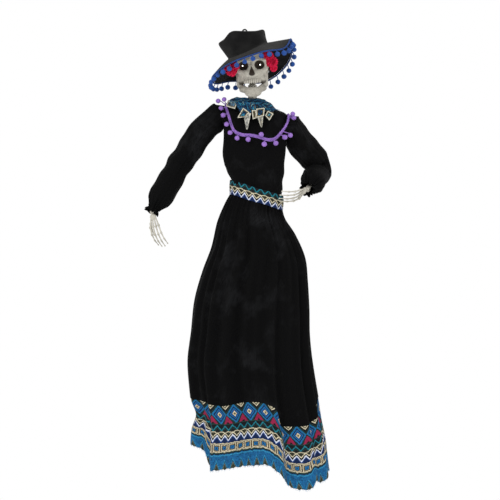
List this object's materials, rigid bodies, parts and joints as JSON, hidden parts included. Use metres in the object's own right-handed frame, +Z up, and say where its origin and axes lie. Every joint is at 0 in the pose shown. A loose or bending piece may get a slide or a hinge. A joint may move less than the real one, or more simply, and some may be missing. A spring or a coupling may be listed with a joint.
{
  "type": "hanging catrina figure",
  "caption": "Dressed, posable skeleton catrina that hangs from an eye in its hat, with jointed jaw, neck and arms and a long skirt.",
  "frame": {"origin": "centre of the hanging eye's hole, above the hat", "axes": "+Z up, the figure faces -Y, its left arm is on +X; the hole of the eye runs along Y"},
  "size_m": [0.3674, 0.2022, 0.9201],
  "materials": {
    "black_felt": "pressed felt",
    "black_gauze": "crinkled gauze",
    "black_plastic": "moulded",
    "blue_trim": "spun pompom trim",
    "bone_plastic": "matte, antiqued",
    "circuit_board": "solder mask",
    "led_lens": "clear dome",
    "printed_cotton": "woven geometric print",
    "purple_trim": "spun pompom trim",
    "red_wire": "insulation",
    "rose_silk": "artificial flower cloth",
    "steel": "plain"
  },
  "bodies": {
    "head": {"hanging_eye": "steel", "eye_nut": "steel", "skull_face": "bone_plastic", "skull_back": "bone_plastic", "skull_screws": "steel", "led_eyes": "led_lens", "led_carrier": "circuit_board", "battery_holder": "black_plastic", "button_cells": "steel", "battery_door": "bone_plastic", "led_leads": "red_wire", "hat_crown": "black_felt", "hat_brim": "black_felt", "brim_cord": "blue_trim", "brim_pompoms": "blue_trim", "right_flower": "rose_silk", "left_flower": "rose_silk", "jaw_pins": "steel"},
    "switch": {"power_switch": "black_plastic"},
    "jaw": {"jaw": "bone_plastic"},
    "neck": {"neck_post": "bone_plastic", "neck_clip": "steel"},
    "torso": {"nod_pin": "steel", "neck_collar": "bone_plastic", "torso_front": "bone_plastic", "torso_back": "bone_plastic", "torso_screws": "steel", "hip_form": "bone_plastic", "bodice": "black_gauze", "neckline_cord": "purple_trim", "neckline_pompoms": "purple_trim", "scarf": "printed_cotton", "scarf_tails": "printed_cotton", "belt": "printed_cotton", "skirt": "black_gauze", "hem_band": "printed_cotton"},
    "right_shoulder": {"right_yoke": "bone_plastic", "right_shoulder_pin": "steel"},
    "right_upper_arm_body": {"right_upper_arm": "bone_plastic", "right_upper_sleeve": "black_gauze"},
    "right_forearm_body": {"right_forearm": "bone_plastic", "right_elbow_pin": "steel", "right_lower_sleeve": "black_gauze", "right_cuff": "black_gauze"},
    "right_hand_body": {"right_hand": "bone_plastic", "right_wrist_pin": "steel"},
    "left_shoulder": {"left_yoke": "bone_plastic", "left_shoulder_pin": "steel"},
    "left_upper_arm_body": {"left_upper_arm": "bone_plastic", "left_upper_sleeve": "black_gauze"},
    "left_forearm_body": {"left_forearm": "bone_plastic", "left_elbow_pin": "steel", "left_lower_sleeve": "black_gauze", "left_cuff": "black_gauze"},
    "left_hand_body": {"left_hand": "bone_plastic", "left_wrist_pin": "steel"}
  },
  "joints": [
    {"name": "jaw_open", "type": "hinge", "parent": "head", "child": "jaw", "pos_m": [0.01417, -0.01, -0.08194], "axis": [0.9976, 0, 0.0698], "range_deg": [-10, 8]},
    {"name": "switch_slide", "type": "slide", "parent": "head", "child": "switch", "axis": [0.9976, 0, 0.0698], "range_m": [0, 0.002]},
    {"name": "neck_turn", "type": "hinge", "parent": "head", "child": "neck", "pos_m": [0.0155, 0.002, -0.097], "axis": [0, 0, 1], "range_deg": [-35, 35]},
    {"name": "neck_nod", "type": "hinge", "parent": "neck", "child": "torso", "pos_m": [0.0155, 0.002, -0.146], "axis": [1, 0, 0], "range_deg": [-5, 12]},
    {"name": "right_swing", "type": "hinge", "parent": "torso", "child": "right_shoulder", "pos_m": [-0.05426, 0, -0.16086], "axis": [0.9877, 0, -0.1564], "range_deg": [-80, 30]},
    {"name": "right_raise", "type": "hinge", "parent": "right_shoulder", "child": "right_upper_arm_body", "pos_m": [-0.05426, 0, -0.16086], "axis": [0.0055, 0.9994, 0.0345], "range_deg": [-6, 45]},
    {"name": "right_elbow_bend", "type": "hinge", "parent": "right_upper_arm_body", "child": "right_forearm_body", "pos_m": [-0.12831, 0.00392, -0.26273], "axis": [-0.7469, -0.4051, 0.5273], "range_deg": [-12, 90]},
    {"name": "right_wrist_bend", "type": "hinge", "parent": "right_forearm_body", "child": "right_hand_body", "pos_m": [-0.18523, -0.01803, -0.36021], "axis": [0.0414, -0.9796, 0.1964], "range_deg": [-30, 20]},
    {"name": "left_swing", "type": "hinge", "parent": "torso", "child": "left_shoulder", "pos_m": [0.09982, 0, -0.18526], "axis": [0.9877, 0, -0.1564], "range_deg": [-75, 8]},
    {"name": "left_raise", "type": "hinge", "parent": "left_shoulder", "child": "left_upper_arm_body", "pos_m": [0.09982, 0, -0.18526], "axis": [-0.1106, -0.7071, -0.6984], "range_deg": [-6, 40]},
    {"name": "left_elbow_bend", "type": "hinge", "parent": "left_upper_arm_body", "child": "left_forearm_body", "pos_m": [0.1617, 0.07208, -0.26804], "axis": [-0.8597, 0.4401, -0.2594], "range_deg": [-95, 4]},
    {"name": "left_wrist_bend", "type": "hinge", "parent": "left_forearm_body", "child": "left_hand_body", "pos_m": [0.12554, -0.02637, -0.31522], "axis": [-0.1141, 0.4631, -0.8789], "range_deg": [-20, 30]}
  ]
}
